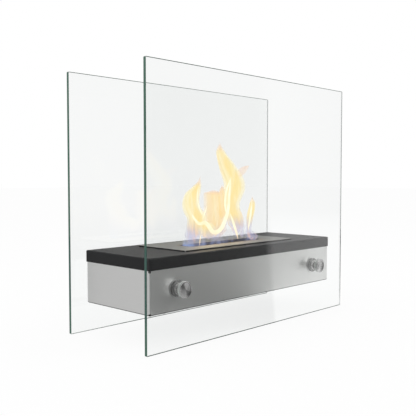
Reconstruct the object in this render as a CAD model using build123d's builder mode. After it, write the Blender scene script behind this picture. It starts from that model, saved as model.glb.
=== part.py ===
from build123d import *
import os

# Free-standing bioethanol fireplace. A folded steel casing hangs between two panes of
# glass on four stand-offs, and a drop-in burner lies in the black cover on top of it.
# Millimetres, +Z up. X runs along the panes, -Y is the front. The origin is on the
# surface that the panes stand on, under the middle of the object.

# ---------------------------------------------------------------- driving sizes

# Glass panes
pane_width = 600.0
pane_height = 500.0
pane_thickness = 6.0
pane_corner_radius = 2.0
pane_arris = 0.6
pane_hole_diameter = 13.0

# Casing: four walls of folded sheet with flanges turned in, closed by a base plate
casing_end_inset = 25.0
casing_depth = 180.0
casing_height = 99.8
casing_underside = 61.0
casing_sheet = 1.2
casing_bend_radius = 2.2
casing_corner_radius = 3.0
casing_return = 14.0
corner_relief_radius = 1.7
corner_relief_depth = 3.4
base_plate_sheet = 1.2
base_plate_clearance = 0.5
base_plate_corner_radius = 2.0

# Black cover over the casing
cover_sheet = 1.2
cover_skirt = 22.0
cover_clearance = 0.2
cover_corner_radius = 3.0
cover_edge_radius = 2.4
cutout_corner_radius = 8.0
cutout_clearance = 2.0
rib_side_gap = 3.5
rib_depth = 10.0
rib_sheet = 1.2
rib_end_inset = 35.0

# Stand-offs between casing and glass
glass_gap = 18.0
standoff_end_inset = 64.0
standoff_height = 41.5
standoff_diameter = 30.0
barrel_ring_length = 1.6
barrel_groove_length = 0.9
barrel_groove_depth = 1.2
barrel_second_ring_length = 1.9
barrel_neck_diameter = 22.0
barrel_neck_length = 5.4
gasket_thickness = 1.0
gasket_inset = 1.0
outer_gasket_thickness = 0.5
cap_thickness = 2.0
cap_waist_diameter = 27.0
cap_rim_width = 2.2
cap_dish_depth = 0.4
cap_rim_rounding = 0.4
cap_screw_grip = 7.5
stud_diameter = 8.0
stud_grip = 8.0
stud_hole_clearance = 0.2
stud_thread_fit = 0.05
bushing_clearance = 0.15
doubler_width = 60.0
doubler_height = 44.0
doubler_thickness = 3.0
doubler_corner_radius = 5.0
washer_diameter = 20.0
washer_thickness = 1.6
nut_across_flats = 13.0
nut_thickness = 6.5
stud_tail = 4.0
stud_chamfer = 0.8

# Burner plate: the flange that shows on top of the cover
plate_length = 334.0
plate_width = 134.0
plate_sheet = 1.5
plate_rise = 2.5
plate_corner_radius = 4.0
plate_edge_radius = 0.8
slot_length = 216.0
slot_width = 38.0
slot_corner_radius = 11.0
slot_shift_x = -4.0
slot_shift_y = -9.0
slot_lip_depth = 3.0
slot_lip_sheet = 1.0

# Burner tanks
housing_length = 308.0
housing_width = 108.0
housing_depth = 68.0
housing_sheet = 1.2
housing_corner_radius = 7.0
housing_edge_radius = 2.4
reservoir_side_gap = 2.8
reservoir_height = 51.8
reservoir_sheet = 1.0
reservoir_rim = 2.0
wool_height = 42.0
wool_clearance = 0.5
wool_edge_radius = 3.0
mesh_sheet = 0.8
mesh_hole_diameter = 8.0
mesh_pitch = 12.0
mesh_border = 8.0

# Damper: a grid that slides over a fixed grid of the same windows
seat_sheet = 1.2
seat_clearance = 0.8
stop_thickness = 1.2
stop_width = 14.0
stop_height = 2.6
stop_clearance = 0.3
window_width = 11.0
window_length = 30.0
window_corner_radius = 2.0
window_lap = 1.0
first_window_inset = 8.5
window_count = 8
slide_sheet = 1.2
slide_width = 50.0
slide_border = 8.5
slide_clearance = 0.3
rail_sheet = 1.2
rail_foot = 8.0
rail_lip = 4.0
rail_overrun = 10.0
rivet_diameter = 3.0
rivet_head_diameter = 5.5
rivet_head_height = 1.0
rivet_tail_height = 0.8
rivet_clearance = 0.05
rivets_per_rail = 3
pin_diameter = 8.0
pin_from_slot_end = 14.0
pin_height_above_plate = 5.0
pin_shank_diameter = 4.0
pin_groove_depth = 0.7
pin_groove_width = 1.2
pin_rounding = 1.6
pin_to_slide_end = 12.0

# Small fasteners
weld_stud_diameter = 4.0
weld_stud_length = 10.0
weld_stud_chamfer = 0.5
weld_stud_clearance = 0.25
flange_nut_across_flats = 7.0
flange_nut_height = 4.0
flange_nut_flange_diameter = 9.0
flange_nut_flange_height = 1.2
cover_stud_end_inset = 55.0
cover_studs_per_side = 3
base_screw_diameter = 4.0
base_screw_length = 8.0
base_screw_head_diameter = 8.0
base_screw_head_height = 1.5
base_screw_end_inset = 40.0
base_screw_side_inset = 9.0
base_screws_per_side = 4
base_screw_clearance = 0.15
screw_thread_fit = 0.05
drive_across_flats = 2.5
drive_depth = 1.3

# How far a cut runs on past the sheet that it goes through
cut_overrun = 1.0

# ---------------------------------------------------------------- derived places

casing_length = pane_width - 2 * casing_end_inset
casing_top = casing_underside + casing_height
cover_top = casing_top + cover_sheet
casing_face = casing_depth / 2
glass_inner_face = casing_face + glass_gap
glass_outer_face = glass_inner_face + pane_thickness
standoff_x = casing_length / 2 - standoff_end_inset
standoff_z = casing_underside + standoff_height
barrel_end = glass_inner_face - gasket_thickness
stud_hole = stud_diameter + 2 * stud_hole_clearance
thread_radius = stud_diameter / 2 + stud_thread_fit
cap_inner_face = glass_outer_face + outer_gasket_thickness
cap_outer_face = cap_inner_face + cap_thickness
cap_screw_end = barrel_end - cap_screw_grip
wall_inner_face = casing_face - casing_sheet
doubler_inner_face = wall_inner_face - doubler_thickness
washer_inner_face = doubler_inner_face - washer_thickness
nut_inner_face = washer_inner_face - nut_thickness
stud_inner_end = nut_inner_face - stud_tail
stud_outer_end = casing_face + stud_grip

plate_top = cover_top + plate_rise
plate_underside = plate_top - plate_sheet
slot_left = slot_shift_x - slot_length / 2
slot_right = slot_shift_x + slot_length / 2
housing_floor = plate_underside - housing_depth
reservoir_floor = housing_floor + housing_sheet
reservoir_length = housing_length - 2 * housing_sheet - 2 * reservoir_side_gap
reservoir_width = housing_width - 2 * housing_sheet - 2 * reservoir_side_gap
reservoir_corner_radius = housing_corner_radius - housing_sheet - reservoir_side_gap / 2
reservoir_top = reservoir_floor + reservoir_height
wool_floor = reservoir_floor + reservoir_sheet
wool_top = wool_floor + wool_height
seat_top = reservoir_top + seat_sheet
slide_underside = seat_top + slide_clearance
slide_top = slide_underside + slide_sheet
window_travel = window_width + window_lap
window_pitch = 2 * window_travel
first_window_x = slot_left + first_window_inset + window_width / 2
pin_x = slot_right - pin_from_slot_end
slide_left = first_window_x - window_width / 2 - slide_border
slide_right = pin_x + pin_to_slide_end
slide_edge_offset = slide_width / 2
rail_left = slide_left - window_travel - rail_overrun
rail_right = slide_right + rail_overrun
rivet_pitch = (rail_right - rail_left - 2 * rail_foot) / (rivets_per_rail - 1)
pin_top = plate_top + pin_height_above_plate
cutout_length = housing_length + 2 * cutout_clearance
cutout_width = housing_width + 2 * cutout_clearance

os.makedirs("parts", exist_ok=True)
node_names = []


def save(solid, name):
    solid.label = name
    node_names.append(name)
    export_step(solid, "parts/" + name + ".step")


# ---------------------------------------------------------------- glass panes

def make_pane(name, side):
    """A pane with its two stand-off holes. side is -1 for the front and 1 for the back."""
    nearest_face = glass_outer_face if side > 0 else -glass_inner_face
    with BuildPart() as pane:
        with BuildSketch(Plane.XZ.offset(-nearest_face)):
            with Locations((0, pane_height / 2)):
                RectangleRounded(pane_width, pane_height, pane_corner_radius)
            with Locations((-standoff_x, standoff_z), (standoff_x, standoff_z)):
                Circle(pane_hole_diameter / 2, mode=Mode.SUBTRACT)
        extrude(amount=pane_thickness)
        chamfer(faces().sort_by(Axis.Y)[0].edges(), length=pane_arris)
        chamfer(faces().sort_by(Axis.Y)[-1].edges(), length=pane_arris)
    save(pane.part, name)


make_pane("glass_front", -1)
make_pane("glass_back", 1)

# ---------------------------------------------------------------- casing

return_edge = casing_face - casing_return
flange_middle_y = casing_face - casing_return / 2
base_screw_y = casing_face - base_screw_side_inset
skirt_edge = cover_top - cover_skirt
standoff_points = [(-standoff_x, standoff_z), (standoff_x, standoff_z)]
base_screw_pitch = (casing_length - 2 * base_screw_end_inset) / (base_screws_per_side - 1)
cover_stud_pitch = (casing_length - 2 * cover_stud_end_inset) / (cover_studs_per_side - 1)
relief_spacing_x = casing_length - 2 * casing_sheet
relief_spacing_y = casing_depth - 2 * casing_sheet

with BuildPart() as casing_body:
    with BuildSketch(Plane.XY.offset(casing_underside)):
        RectangleRounded(casing_length, casing_depth, casing_corner_radius)
    extrude(amount=casing_height)
    fillet(faces().sort_by(Axis.Z)[0].edges(), radius=casing_bend_radius)
    fillet(faces().sort_by(Axis.Z)[-1].edges(), radius=casing_bend_radius)
    # Hollow between the flanges
    with BuildSketch(Plane.XY.offset(casing_underside + casing_sheet)):
        RectangleRounded(
            casing_length - 2 * casing_sheet,
            casing_depth - 2 * casing_sheet,
            casing_corner_radius - casing_sheet,
        )
    extrude(amount=casing_height - 2 * casing_sheet, mode=Mode.SUBTRACT)
    # The flanges at the top and the bottom leave the middle open
    with BuildSketch(Plane.XY.offset(casing_underside - cut_overrun)):
        Rectangle(casing_length - 2 * casing_return, casing_depth - 2 * casing_return)
    extrude(amount=casing_height + 2 * cut_overrun, mode=Mode.SUBTRACT)
    # Relief holes where two flanges meet at a corner, at the bottom and under the cover
    with BuildSketch(Plane.XY.offset(casing_underside - cut_overrun)):
        with GridLocations(relief_spacing_x, relief_spacing_y, 2, 2):
            Circle(corner_relief_radius)
    extrude(amount=corner_relief_depth + cut_overrun, mode=Mode.SUBTRACT)
    with BuildSketch(Plane.XY.offset(skirt_edge - corner_relief_depth)):
        with GridLocations(relief_spacing_x, relief_spacing_y, 2, 2):
            Circle(corner_relief_radius)
    extrude(amount=casing_top - skirt_edge + corner_relief_depth + cut_overrun, mode=Mode.SUBTRACT)
    # Stud holes for the stand-offs, through both long walls
    with BuildSketch(Plane.XZ.offset(-casing_depth)):
        with Locations(*standoff_points):
            Circle(stud_hole / 2)
    extrude(amount=2 * casing_depth, mode=Mode.SUBTRACT)
    # Holes for the cover's weld studs in the top flanges
    with BuildSketch(Plane.XY.offset(casing_top - casing_sheet - cut_overrun)):
        with GridLocations(cover_stud_pitch, 2 * flange_middle_y, cover_studs_per_side, 2):
            Circle(weld_stud_diameter / 2 + weld_stud_clearance)
    extrude(amount=casing_sheet + 2 * cut_overrun, mode=Mode.SUBTRACT)
    # Holes for the base plate's screws in the bottom flanges
    with BuildSketch(Plane.XY.offset(casing_underside - cut_overrun)):
        with GridLocations(base_screw_pitch, 2 * base_screw_y, base_screws_per_side, 2):
            Circle(base_screw_diameter / 2 + base_screw_clearance)
    extrude(amount=casing_sheet + 2 * cut_overrun, mode=Mode.SUBTRACT)
save(casing_body.part, "casing_body")

# The base plate lies on the bottom flanges, and its holes are threaded
base_plate_gap = 2 * (casing_sheet + base_plate_clearance)
with BuildPart() as base_plate:
    with BuildSketch(Plane.XY.offset(casing_underside + casing_sheet)):
        RectangleRounded(
            casing_length - base_plate_gap,
            casing_depth - base_plate_gap,
            base_plate_corner_radius,
        )
        with GridLocations(base_screw_pitch, 2 * base_screw_y, base_screws_per_side, 2):
            Circle(base_screw_diameter / 2 + screw_thread_fit, mode=Mode.SUBTRACT)
    extrude(amount=base_plate_sheet)
save(base_plate.part, "base_plate")

# Button-head screws under the flanges, with a hexagon socket
with BuildPart() as base_plate_screws:
    with BuildSketch(Plane.XY.offset(casing_underside)):
        with GridLocations(base_screw_pitch, 2 * base_screw_y, base_screws_per_side, 2):
            Circle(base_screw_head_diameter / 2)
    extrude(amount=-base_screw_head_height)
    fillet(
        faces().filter_by(Plane.XY).group_by(Axis.Z)[0].edges(),
        radius=base_screw_head_height / 2,
    )
    with BuildSketch(Plane.XY.offset(casing_underside)):
        with GridLocations(base_screw_pitch, 2 * base_screw_y, base_screws_per_side, 2):
            Circle(base_screw_diameter / 2)
    extrude(amount=base_screw_length)
    with BuildSketch(Plane.XY.offset(casing_underside - base_screw_head_height)):
        with GridLocations(base_screw_pitch, 2 * base_screw_y, base_screws_per_side, 2):
            RegularPolygon(drive_across_flats / 2, 6, major_radius=False)
    extrude(amount=drive_depth, mode=Mode.SUBTRACT)
save(base_plate_screws.part, "base_plate_screws")

# ---------------------------------------------------------------- black cover

cover_overhang = cover_sheet + cover_clearance
cover_length = casing_length + 2 * cover_overhang
cover_depth = casing_depth + 2 * cover_overhang

with BuildPart() as top_cover:
    with BuildSketch(Plane.XY.offset(skirt_edge)):
        RectangleRounded(cover_length, cover_depth, cover_corner_radius)
    extrude(amount=cover_skirt)
    fillet(faces().sort_by(Axis.Z)[-1].edges(), radius=cover_edge_radius)
    with BuildSketch(Plane.XY.offset(skirt_edge)):
        RectangleRounded(
            cover_length - 2 * cover_sheet,
            cover_depth - 2 * cover_sheet,
            cover_corner_radius - cover_sheet,
        )
    extrude(amount=cover_skirt - cover_sheet, mode=Mode.SUBTRACT)
    with BuildSketch(Plane.XY.offset(skirt_edge)):
        RectangleRounded(cutout_length, cutout_width, cutout_corner_radius)
    extrude(amount=cover_skirt, mode=Mode.SUBTRACT)
save(top_cover.part, "top_cover")

# Stiffening channels under the cover, along both long sides of the cut-out
rib_length = casing_length - 2 * rib_end_inset
rib_middle_y = (cutout_width / 2 + return_edge) / 2
rib_width = return_edge - cutout_width / 2 - 2 * rib_side_gap


def make_rib(name, side):
    """A channel with its web against the cover and its legs pointing down."""
    with BuildPart() as rib:
        with BuildSketch(Plane.YZ.offset(-rib_length / 2)):
            with Locations((side * rib_middle_y, casing_top - rib_depth / 2)):
                Rectangle(rib_width, rib_depth)
            with Locations((side * rib_middle_y, casing_top - rib_sheet - rib_depth / 2)):
                Rectangle(rib_width - 2 * rib_sheet, rib_depth, mode=Mode.SUBTRACT)
        extrude(amount=rib_length)
        fillet(edges().filter_by(Axis.X).group_by(Axis.Z)[-1], radius=rib_sheet)
    save(rib.part, name)


make_rib("cover_rib_front", -1)
make_rib("cover_rib_back", 1)

with BuildPart() as cover_studs:
    with BuildSketch(Plane.XY.offset(casing_top)):
        with GridLocations(cover_stud_pitch, 2 * flange_middle_y, cover_studs_per_side, 2):
            Circle(weld_stud_diameter / 2)
    extrude(amount=-weld_stud_length)
    chamfer(
        faces().filter_by(Plane.XY).group_by(Axis.Z)[0].edges(),
        length=weld_stud_chamfer,
    )
save(cover_studs.part, "cover_studs")

nut_seat = casing_top - casing_sheet
with BuildPart() as cover_nuts:
    with BuildSketch(Plane.XY.offset(nut_seat)):
        with GridLocations(cover_stud_pitch, 2 * flange_middle_y, cover_studs_per_side, 2):
            Circle(flange_nut_flange_diameter / 2)
    extrude(amount=-flange_nut_flange_height)
    with BuildSketch(Plane.XY.offset(nut_seat)):
        with GridLocations(cover_stud_pitch, 2 * flange_middle_y, cover_studs_per_side, 2):
            RegularPolygon(flange_nut_across_flats / 2, 6, major_radius=False)
    extrude(amount=-flange_nut_height)
    with BuildSketch(Plane.XY.offset(nut_seat)):
        with GridLocations(cover_stud_pitch, 2 * flange_middle_y, cover_studs_per_side, 2):
            Circle(weld_stud_diameter / 2 + screw_thread_fit)
    extrude(amount=-flange_nut_height, mode=Mode.SUBTRACT)
save(cover_nuts.part, "cover_nuts")

# ---------------------------------------------------------------- stand-offs

standoff_places = {
    "front_left": (-1, -1),
    "front_right": (1, -1),
    "back_left": (-1, 1),
    "back_right": (1, 1),
}


def turning_plane(end, side):
    """Plane through a stand-off's axis: local x is the radius, local y the distance
    from the middle of the casing towards the glass."""
    return Plane(
        origin=(end * standoff_x, 0, standoff_z), x_dir=(1, 0, 0), z_dir=(0, 0, side)
    )


def turning_axis(end):
    return Axis((end * standoff_x, 0, standoff_z), (0, 1, 0))


ring_end = casing_face + barrel_ring_length
groove_end = ring_end + barrel_groove_length
second_ring_end = groove_end + barrel_second_ring_length
neck_end = second_ring_end + barrel_neck_length
standoff_radius = standoff_diameter / 2
groove_radius = standoff_radius - barrel_groove_depth

for place, (end, side) in standoff_places.items():
    # Spool: two rings at the casing, a neck, and a cone that opens towards the glass
    with BuildPart() as barrel:
        with BuildSketch(turning_plane(end, side)):
            with BuildLine():
                Polyline(
                    (thread_radius, casing_face),
                    (standoff_radius, casing_face),
                    (standoff_radius, ring_end),
                    (groove_radius, ring_end),
                    (groove_radius, groove_end),
                    (standoff_radius, groove_end),
                    (standoff_radius, second_ring_end),
                    (barrel_neck_diameter / 2, second_ring_end),
                    (barrel_neck_diameter / 2, neck_end),
                    (standoff_radius, barrel_end),
                    (thread_radius, barrel_end),
                    close=True,
                )
            make_face()
        revolve(axis=turning_axis(end))
    save(barrel.part, "standoff_barrel_" + place)

    # Cap: a thin cone with a dish in its face, and a screw that goes through the glass
    with BuildPart() as cap:
        with BuildSketch(turning_plane(end, side)) as cap_profile:
            with BuildLine():
                Polyline(
                    (0, cap_screw_end),
                    (stud_diameter / 2 - stud_chamfer, cap_screw_end),
                    (stud_diameter / 2, cap_screw_end + stud_chamfer),
                    (stud_diameter / 2, cap_inner_face),
                    (cap_waist_diameter / 2, cap_inner_face),
                    (standoff_radius, cap_outer_face - 2 * cap_rim_rounding),
                    (standoff_radius, cap_outer_face),
                    (standoff_radius - cap_rim_width, cap_outer_face),
                    (standoff_radius - cap_rim_width - cap_dish_depth, cap_outer_face - cap_dish_depth),
                    (0, cap_outer_face - cap_dish_depth),
                    close=True,
                )
            make_face()
            outer_rim = cap_profile.vertices().group_by(Axis.X)[-1].sort_by(
                lambda corner: abs(corner.Y)
            )[-1]
            fillet(outer_rim, radius=cap_rim_rounding)
        revolve(axis=turning_axis(end))
    save(cap.part, "standoff_cap_" + place)


def save_turned_set(name, inner_radius, outer_radius, start, finish):
    """One plain turned ring at each of the four stand-offs."""
    with BuildPart() as turned_set:
        for end, side in standoff_places.values():
            with BuildSketch(turning_plane(end, side)):
                with Locations(((inner_radius + outer_radius) / 2, (start + finish) / 2)):
                    Rectangle(outer_radius - inner_radius, finish - start)
            revolve(axis=turning_axis(end))
    save(turned_set.part, name)


save_turned_set(
    "inner_gaskets",
    stud_hole / 2,
    standoff_radius - gasket_inset,
    barrel_end,
    glass_inner_face,
)
save_turned_set(
    "glass_bushings",
    stud_hole / 2,
    pane_hole_diameter / 2 - bushing_clearance,
    glass_inner_face,
    glass_outer_face,
)
save_turned_set(
    "outer_gaskets",
    stud_hole / 2,
    cap_waist_diameter / 2 - gasket_inset,
    glass_outer_face,
    cap_inner_face,
)
save_turned_set(
    "stud_washers",
    stud_hole / 2,
    washer_diameter / 2,
    washer_inner_face,
    doubler_inner_face,
)

with BuildPart() as standoff_studs:
    for end, side in standoff_places.values():
        with BuildSketch(turning_plane(end, side)):
            with Locations((stud_diameter / 4, (stud_inner_end + stud_outer_end) / 2)):
                Rectangle(stud_diameter / 2, stud_outer_end - stud_inner_end)
        revolve(axis=turning_axis(end))
    chamfer(edges().filter_by(GeomType.CIRCLE), length=stud_chamfer)
save(standoff_studs.part, "standoff_studs")

with BuildPart() as stud_nuts:
    for end, side in standoff_places.values():
        with BuildSketch(Plane.XZ.offset(-side * washer_inner_face)):
            with Locations((end * standoff_x, standoff_z)):
                RegularPolygon(nut_across_flats / 2, 6, major_radius=False)
                Circle(thread_radius, mode=Mode.SUBTRACT)
        extrude(amount=side * nut_thickness)
save(stud_nuts.part, "stud_nuts")

with BuildPart() as wall_doublers:
    for end, side in standoff_places.values():
        with BuildSketch(Plane.XZ.offset(-side * wall_inner_face)):
            with Locations((end * standoff_x, standoff_z)):
                RectangleRounded(doubler_width, doubler_height, doubler_corner_radius)
                Circle(stud_hole / 2, mode=Mode.SUBTRACT)
        extrude(amount=side * doubler_thickness)
save(wall_doublers.part, "wall_doublers")

# ---------------------------------------------------------------- burner plate and tanks

slot_middle = (slot_shift_x, slot_shift_y)

with BuildPart() as burner_plate:
    with BuildSketch(Plane.XY.offset(cover_top)):
        RectangleRounded(plate_length, plate_width, plate_corner_radius)
    extrude(amount=plate_rise)
    fillet(faces().sort_by(Axis.Z)[-1].edges(), radius=plate_edge_radius)
    with BuildSketch(Plane.XY.offset(cover_top)):
        RectangleRounded(
            plate_length - 2 * plate_sheet,
            plate_width - 2 * plate_sheet,
            plate_corner_radius - plate_sheet,
        )
    extrude(amount=plate_rise - plate_sheet, mode=Mode.SUBTRACT)
    # Lip turned down round the slot, then the slot through both
    with BuildSketch(Plane.XY.offset(plate_underside)):
        with Locations(slot_middle):
            RectangleRounded(
                slot_length + 2 * slot_lip_sheet,
                slot_width + 2 * slot_lip_sheet,
                slot_corner_radius + slot_lip_sheet,
            )
    extrude(amount=-slot_lip_depth)
    with BuildSketch(Plane.XY.offset(plate_underside - slot_lip_depth)):
        with Locations(slot_middle):
            RectangleRounded(slot_length, slot_width, slot_corner_radius)
    extrude(amount=slot_lip_depth + plate_sheet, mode=Mode.SUBTRACT)
save(burner_plate.part, "burner_plate")

with BuildPart() as burner_housing:
    with BuildSketch(Plane.XY.offset(housing_floor)):
        RectangleRounded(housing_length, housing_width, housing_corner_radius)
    extrude(amount=housing_depth)
    fillet(faces().sort_by(Axis.Z)[0].edges(), radius=housing_edge_radius)
    with BuildSketch(Plane.XY.offset(reservoir_floor)):
        RectangleRounded(
            housing_length - 2 * housing_sheet,
            housing_width - 2 * housing_sheet,
            housing_corner_radius - housing_sheet,
        )
    extrude(amount=housing_depth, mode=Mode.SUBTRACT)
save(burner_housing.part, "burner_housing")

with BuildPart() as fuel_reservoir:
    with BuildSketch(Plane.XY.offset(reservoir_floor)):
        RectangleRounded(reservoir_length, reservoir_width, reservoir_corner_radius)
    extrude(amount=reservoir_height)
    with BuildSketch(Plane.XY.offset(reservoir_top - reservoir_sheet)):
        RectangleRounded(
            reservoir_length + 2 * reservoir_rim,
            reservoir_width + 2 * reservoir_rim,
            reservoir_corner_radius + reservoir_rim,
        )
    extrude(amount=reservoir_sheet)
    with BuildSketch(Plane.XY.offset(wool_floor)):
        RectangleRounded(
            reservoir_length - 2 * reservoir_sheet,
            reservoir_width - 2 * reservoir_sheet,
            reservoir_corner_radius - reservoir_sheet,
        )
    extrude(amount=reservoir_height, mode=Mode.SUBTRACT)
save(fuel_reservoir.part, "fuel_reservoir")

wool_length = reservoir_length - 2 * reservoir_sheet - 2 * wool_clearance
wool_width = reservoir_width - 2 * reservoir_sheet - 2 * wool_clearance

with BuildPart() as ceramic_wool:
    with BuildSketch(Plane.XY.offset(wool_floor)):
        RectangleRounded(wool_length, wool_width, wool_edge_radius)
    extrude(amount=wool_height)
save(ceramic_wool.part, "ceramic_wool")

mesh_columns = int((wool_length - 2 * mesh_border) / mesh_pitch) + 1
mesh_rows = int((wool_width - 2 * mesh_border) / mesh_pitch) + 1

with BuildPart() as wool_mesh:
    with BuildSketch(Plane.XY.offset(wool_top)):
        RectangleRounded(wool_length, wool_width, wool_edge_radius)
        with GridLocations(mesh_pitch, mesh_pitch, mesh_columns, mesh_rows):
            Circle(mesh_hole_diameter / 2, mode=Mode.SUBTRACT)
    extrude(amount=mesh_sheet)
save(wool_mesh.part, "wool_mesh")

# ---------------------------------------------------------------- damper

seat_length = housing_length - 2 * housing_sheet - 2 * seat_clearance
seat_width = housing_width - 2 * housing_sheet - 2 * seat_clearance
rivet_offset = slide_edge_offset + slide_clearance + rail_sheet + rail_foot / 2
first_rivet_x = rail_left + rail_foot


def rivet_row(side):
    """Rivet places along one rail, front or back."""
    return [
        (first_rivet_x + number * rivet_pitch, slot_shift_y + side * rivet_offset)
        for number in range(rivets_per_rail)
    ]


rivet_places = rivet_row(-1) + rivet_row(1)
window_places = [
    (first_window_x + number * window_pitch, slot_shift_y) for number in range(window_count)
]

with BuildPart() as damper_seat:
    with BuildSketch(Plane.XY.offset(reservoir_top)):
        RectangleRounded(seat_length, seat_width, reservoir_corner_radius)
        with Locations(*window_places):
            RectangleRounded(
                window_width, window_length, window_corner_radius, mode=Mode.SUBTRACT
            )
        with Locations(*rivet_places):
            Circle(rivet_diameter / 2 + rivet_clearance, mode=Mode.SUBTRACT)
    extrude(amount=seat_sheet)
    # Upturned tabs that stop the slide, open at the right and closed at the left
    with BuildSketch(Plane.XY.offset(seat_top)):
        with Locations(
            (slide_right + stop_clearance + stop_thickness / 2, slot_shift_y),
            (slide_left - window_travel - stop_clearance - stop_thickness / 2, slot_shift_y),
        ):
            Rectangle(stop_thickness, stop_width)
    extrude(amount=stop_height)
save(damper_seat.part, "damper_seat")

with BuildPart() as damper_slide:
    with BuildSketch(Plane.XY.offset(slide_underside)):
        with Locations(((slide_left + slide_right) / 2, slot_shift_y)):
            RectangleRounded(slide_right - slide_left, slide_width, window_corner_radius)
        with Locations(*window_places):
            RectangleRounded(
                window_width, window_length, window_corner_radius, mode=Mode.SUBTRACT
            )
        with Locations((pin_x, slot_shift_y)):
            Circle(pin_shank_diameter / 2 + rivet_clearance, mode=Mode.SUBTRACT)
    extrude(amount=slide_sheet)
save(damper_slide.part, "damper_slide")

lip_underside = slide_top + slide_clearance
lip_top = lip_underside + rail_sheet
riser_inner = slide_edge_offset + slide_clearance
riser_outer = riser_inner + rail_sheet
foot_outer = riser_outer + rail_foot
lip_inner = slide_edge_offset - rail_lip


def make_rail(name, side):
    """A stepped strip riveted to the fixed grid, its lip over one edge of the slide."""
    with BuildPart() as rail:
        with BuildSketch(Plane.YZ.offset(rail_left)):
            with BuildLine():
                Polyline(
                    (slot_shift_y + side * riser_inner, seat_top),
                    (slot_shift_y + side * foot_outer, seat_top),
                    (slot_shift_y + side * foot_outer, seat_top + rail_sheet),
                    (slot_shift_y + side * riser_outer, seat_top + rail_sheet),
                    (slot_shift_y + side * riser_outer, lip_top),
                    (slot_shift_y + side * lip_inner, lip_top),
                    (slot_shift_y + side * lip_inner, lip_underside),
                    (slot_shift_y + side * riser_inner, lip_underside),
                    close=True,
                )
            make_face()
        extrude(amount=rail_right - rail_left)
        with BuildSketch(Plane.XY.offset(seat_top)):
            with Locations(*rivet_row(side)):
                Circle(rivet_diameter / 2 + rivet_clearance)
        extrude(amount=rail_sheet + cut_overrun, mode=Mode.SUBTRACT)
    save(rail.part, name)


make_rail("damper_rail_front", -1)
make_rail("damper_rail_back", 1)

with BuildPart() as damper_rivets:
    with BuildSketch(Plane.XY.offset(reservoir_top)):
        with Locations(*rivet_places):
            Circle(rivet_diameter / 2)
    extrude(amount=seat_sheet + rail_sheet)
    with BuildSketch(Plane.XY.offset(seat_top + rail_sheet)):
        with Locations(*rivet_places):
            Circle(rivet_head_diameter / 2)
    extrude(amount=rivet_head_height)
    with BuildSketch(Plane.XY.offset(reservoir_top)):
        with Locations(*rivet_places):
            Circle(rivet_head_diameter / 2)
    extrude(amount=-rivet_tail_height)
save(damper_rivets.part, "damper_rivets")

# The pin stands on the slide and shows in the slot, near its right end.
pin_radius = pin_diameter / 2
pin_groove_top = pin_top - 2 * pin_rounding
pin_groove_bottom = pin_groove_top - pin_groove_width

with BuildPart() as damper_pin:
    with BuildSketch(Plane(origin=(pin_x, slot_shift_y, 0), x_dir=(1, 0, 0), z_dir=(0, -1, 0))):
        with BuildLine():
            Polyline(
                (0, slide_underside),
                (pin_shank_diameter / 2, slide_underside),
                (pin_shank_diameter / 2, slide_top),
                (pin_radius, slide_top),
                (pin_radius, pin_groove_bottom),
                (pin_radius - pin_groove_depth, pin_groove_bottom),
                (pin_radius - pin_groove_depth, pin_groove_top),
                (pin_radius, pin_groove_top),
                (pin_radius, pin_top),
                (0, pin_top),
                close=True,
            )
        make_face()
    revolve(axis=Axis((pin_x, slot_shift_y, 0), (0, 0, 1)))
    fillet(faces().sort_by(Axis.Z)[-1].edges(), radius=pin_rounding)
save(damper_pin.part, "damper_pin")

print(len(node_names), "pieces")
print("open slot", slot_left, "to", slot_right, "pin at", pin_x, "travel", window_travel)
print("burner plate top", plate_top, "housing floor", housing_floor)
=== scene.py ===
# %% [markdown]
# # A bioethanol fireplace between two panes of glass
# The object is a folded steel box with a black cover, hung between two clear panes on
# round stand-offs, with a slot burner in the cover and a live flame in the slot. The
# hard pieces come ready made from the CAD frame, at their real size. Blender adds what
# CAD can't hold: the finish of every surface, the flame and the fibre of the wool.

# %% Load the frame
import math
import random

import bmesh
import bpy
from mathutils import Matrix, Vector, noise


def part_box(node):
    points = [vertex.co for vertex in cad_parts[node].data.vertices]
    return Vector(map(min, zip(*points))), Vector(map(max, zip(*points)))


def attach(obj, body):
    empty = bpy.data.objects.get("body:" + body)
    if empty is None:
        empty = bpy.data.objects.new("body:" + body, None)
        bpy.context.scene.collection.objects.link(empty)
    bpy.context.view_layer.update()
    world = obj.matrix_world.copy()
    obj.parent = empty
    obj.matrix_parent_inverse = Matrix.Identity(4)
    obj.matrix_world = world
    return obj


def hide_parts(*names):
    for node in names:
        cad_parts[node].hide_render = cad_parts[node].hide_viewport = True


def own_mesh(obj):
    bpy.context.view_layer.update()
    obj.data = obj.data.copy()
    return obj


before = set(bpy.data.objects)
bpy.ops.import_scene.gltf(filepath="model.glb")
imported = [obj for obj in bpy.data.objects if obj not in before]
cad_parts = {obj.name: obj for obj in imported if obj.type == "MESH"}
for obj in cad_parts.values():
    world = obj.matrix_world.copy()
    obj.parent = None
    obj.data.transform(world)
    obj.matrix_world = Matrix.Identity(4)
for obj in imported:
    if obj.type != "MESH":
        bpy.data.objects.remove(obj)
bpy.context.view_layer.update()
scene = bpy.context.scene
scene.view_settings.view_transform = "Standard"
millimetre = 0.001


def place(node):
    """The middle and the size of a CAD node, in metres."""
    low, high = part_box(node)
    return (low + high) / 2, high - low


# %% [markdown]
# ## The camera
# A camera match starts from straight edges whose real lengths are known. Here both
# panes, the casing and the cover were fitted to one perspective, which gives the place,
# the turn and the lens at once. Guessing them by eye would also work, but then every
# proportion in the picture stays in doubt.

# %% Camera
camera_place = Vector((-979.2, -905.9, 301.3)) * millimetre
camera_turn_to_right = math.radians(46.247)
camera_dip = math.radians(2.806)
camera_lens = 54.34

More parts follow.
